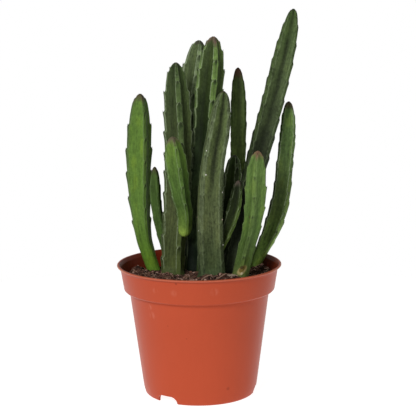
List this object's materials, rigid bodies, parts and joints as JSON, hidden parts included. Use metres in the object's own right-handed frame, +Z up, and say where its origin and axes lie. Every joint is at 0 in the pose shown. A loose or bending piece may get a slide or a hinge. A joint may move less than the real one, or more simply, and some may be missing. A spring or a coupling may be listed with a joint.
{
  "type": "potted stapelia",
  "caption": "Ribbed, toothed succulent stems of several heights standing in soil in a tapered round plastic nursery pot with a wide band and a flared lip.",
  "frame": {"origin": "centre of the whole plant's bounding box, on the surface that the pot stands on", "axes": "+Z up along the plant's height; -Y towards the viewer of the picture; +X to the viewer's right, the way the tallest stem leans"},
  "size_m": [0.133, 0.12, 0.2792],
  "materials": {
    "pot_plastic": "satin terracotta-coloured moulded plastic, slightly scuffed",
    "peat_soil": "dark brown peat with fibres and bark",
    "bright_stem": "velvety light green skin with brown tooth tips",
    "dark_stem": "velvety dark green skin with paler rib margins",
    "grey_green_stem": "velvety grey-green skin with fine pale streaks"
  },
  "bodies": {
    "root": {"pot": "pot_plastic", "soil": "peat_soil", "left_stem": "bright_stem", "forked_stem": "dark_stem", "rear_tall_stem": "dark_stem", "middle_tall_stem": "dark_stem", "front_stem": "grey_green_stem", "thin_rear_stem": "dark_stem", "short_rear_stem": "dark_stem", "tallest_stem": "grey_green_stem", "short_front_stem": "bright_stem", "bent_right_stem": "bright_stem"}
  },
  "joints": []
}
